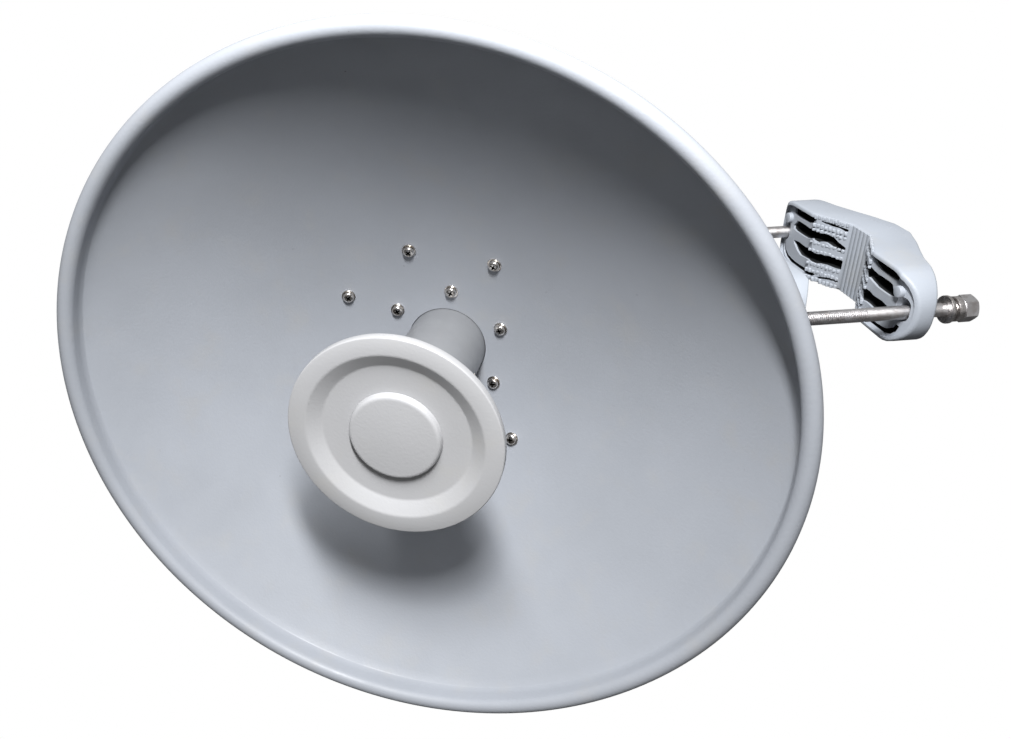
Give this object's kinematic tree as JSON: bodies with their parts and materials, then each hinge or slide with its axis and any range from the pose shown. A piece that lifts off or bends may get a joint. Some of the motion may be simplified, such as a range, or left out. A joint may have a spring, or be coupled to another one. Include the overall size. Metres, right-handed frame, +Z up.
{
  "type": "parabolic dish antenna",
  "caption": "Round parabolic dish with a tube feed and stepped sub-reflector, on a side arm with a two-jaw pole clamp.",
  "frame": {"origin": "middle of the inner jaw's mast seat, which bears on the mast", "axes": "+Z up along the mast, the dish looks along -Y, +X from the dish towards the mast side"},
  "size_m": [0.6978, 0.2876, 0.5998],
  "materials": {
    "dish_coating": "satin grey powder coat",
    "feed_plastic": "smooth satin",
    "jaw_coating": "light grey powder coat on a die casting",
    "stainless": "turned stainless steel",
    "plated_brass": "nickel plated"
  },
  "bodies": {
    "antenna": {"far_clamp_bolt": "stainless", "far_clamp_nut": "stainless", "far_flat_washer": "stainless", "far_spring_washer": "stainless", "feed_cap": "jaw_coating", "feed_tube": "feed_plastic", "hub_arm": "jaw_coating", "hub_plate": "jaw_coating", "inner_jaw": "jaw_coating", "inner_screw_1": "stainless", "inner_screw_2": "stainless", "inner_screw_3": "stainless", "inner_screw_4": "stainless", "inner_screw_5": "stainless", "inner_screw_6": "stainless", "left_socket": "plated_brass", "lower_lock_bolt": "stainless", "lower_lock_nut": "stainless", "near_clamp_bolt": "stainless", "near_clamp_nut": "stainless", "near_flat_washer": "stainless", "near_spring_washer": "stainless", "outer_screw_1": "stainless", "outer_screw_2": "stainless", "outer_screw_3": "stainless", "outer_screw_4": "stainless", "outer_screw_5": "stainless", "pivot_bolt": "stainless", "pivot_nut": "stainless", "reflector": "dish_coating", "right_socket": "plated_brass", "subreflector": "dish_coating", "subreflector_boss": "dish_coating", "tilt_bracket": "jaw_coating", "upper_lock_bolt": "stainless", "upper_lock_nut": "stainless"},
    "clamp_jaw": {"outer_jaw": "jaw_coating"}
  },
  "joints": [
    {"name": "jaw_slide", "type": "slide", "parent": "antenna", "child": "clamp_jaw", "axis": [-0.9232, -0.3843, 0], "range_m": [-0.005, 0.059]}
  ]
}
